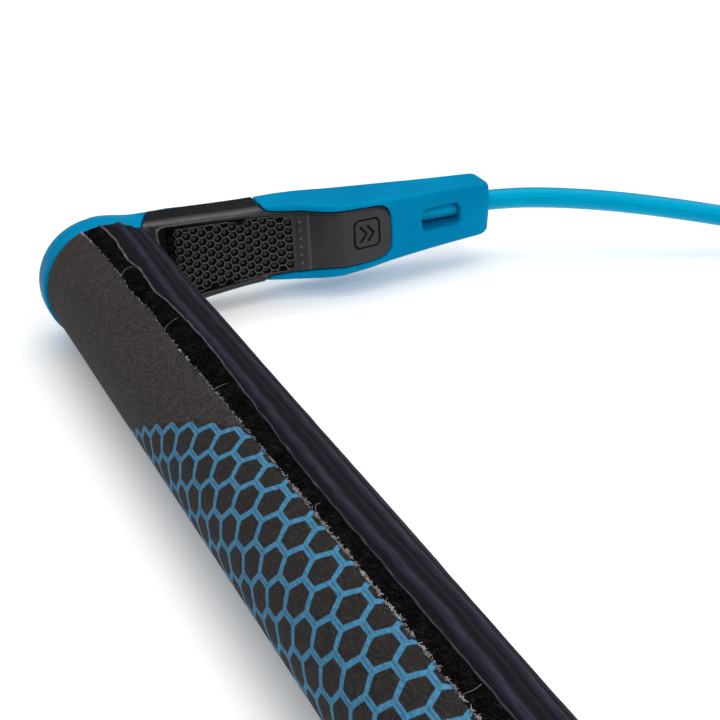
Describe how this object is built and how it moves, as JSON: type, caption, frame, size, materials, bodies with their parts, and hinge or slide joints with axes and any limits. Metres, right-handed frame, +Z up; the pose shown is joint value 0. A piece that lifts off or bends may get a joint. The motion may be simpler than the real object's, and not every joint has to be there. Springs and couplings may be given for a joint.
{
  "type": "tow rope handle",
  "caption": "Wrapped padded bar with a moulded elbow and arm at each end, a line through both, and a coiled bridle that ends in a tow loop.",
  "frame": {"origin": "centre of the footprint of the bar and arms, on the surface that the handle lies on", "axes": "+X along the bar, +Y from the bar towards the ends of the arms and the boat, +Z up, out of the surface"},
  "size_m": [0.381, 0.2408, 0.0332],
  "materials": {
    "tube_aluminium": "satin drawn tube",
    "grip_foam": "closed-cell EVA foam, dark grey",
    "navy_fabric": "dark navy knit, folded along the bar",
    "grey_binding": "light grey folded edge tape",
    "black_pile": "hook-and-loop pile, black and hairy",
    "printed_suede": "brushed dark suede-like wrap with a blue hexagon print",
    "nylon_insert": "glass-filled nylon, moulded",
    "rivet_aluminium": "plain rivet",
    "blue_moulding": "soft moulded elbow and arm, satin blue",
    "black_moulding": "soft black overmould, satin, with a honeycomb finger recess",
    "coated_line": "smooth polyurethane coating over a braided core, light blue",
    "yoke_rubber": "moulded black yoke",
    "sleeve_webbing": "woven chafe sleeve, black",
    "tie_webbing": "hook-and-loop tie, black"
  },
  "bodies": {
    "root": {"bridle_coil_left": "coated_line", "bridle_coil_right": "coated_line", "bridle_lead_left": "coated_line", "bridle_lead_right": "coated_line", "bridle_tail_left": "coated_line", "bridle_tail_right": "coated_line", "bridle_yoke": "yoke_rubber", "coil_tie_left": "tie_webbing", "coil_tie_right": "tie_webbing", "core_tube": "tube_aluminium", "elbow_arm_left": "blue_moulding", "elbow_arm_right": "blue_moulding", "elbow_insert_left": "nylon_insert", "elbow_insert_right": "nylon_insert", "fabric_fold": "navy_fabric", "fabric_underlay": "navy_fabric", "finger_guard_left": "black_moulding", "finger_guard_right": "black_moulding", "fold_binding": "grey_binding", "grip_sleeve": "grip_foam", "grip_wrap": "printed_suede", "inner_line": "coated_line", "insert_rivets_left": "rivet_aluminium", "insert_rivets_right": "rivet_aluminium", "loop_sleeve": "sleeve_webbing", "pile_strip": "black_pile", "tow_loop": "coated_line"}
  },
  "joints": []
}
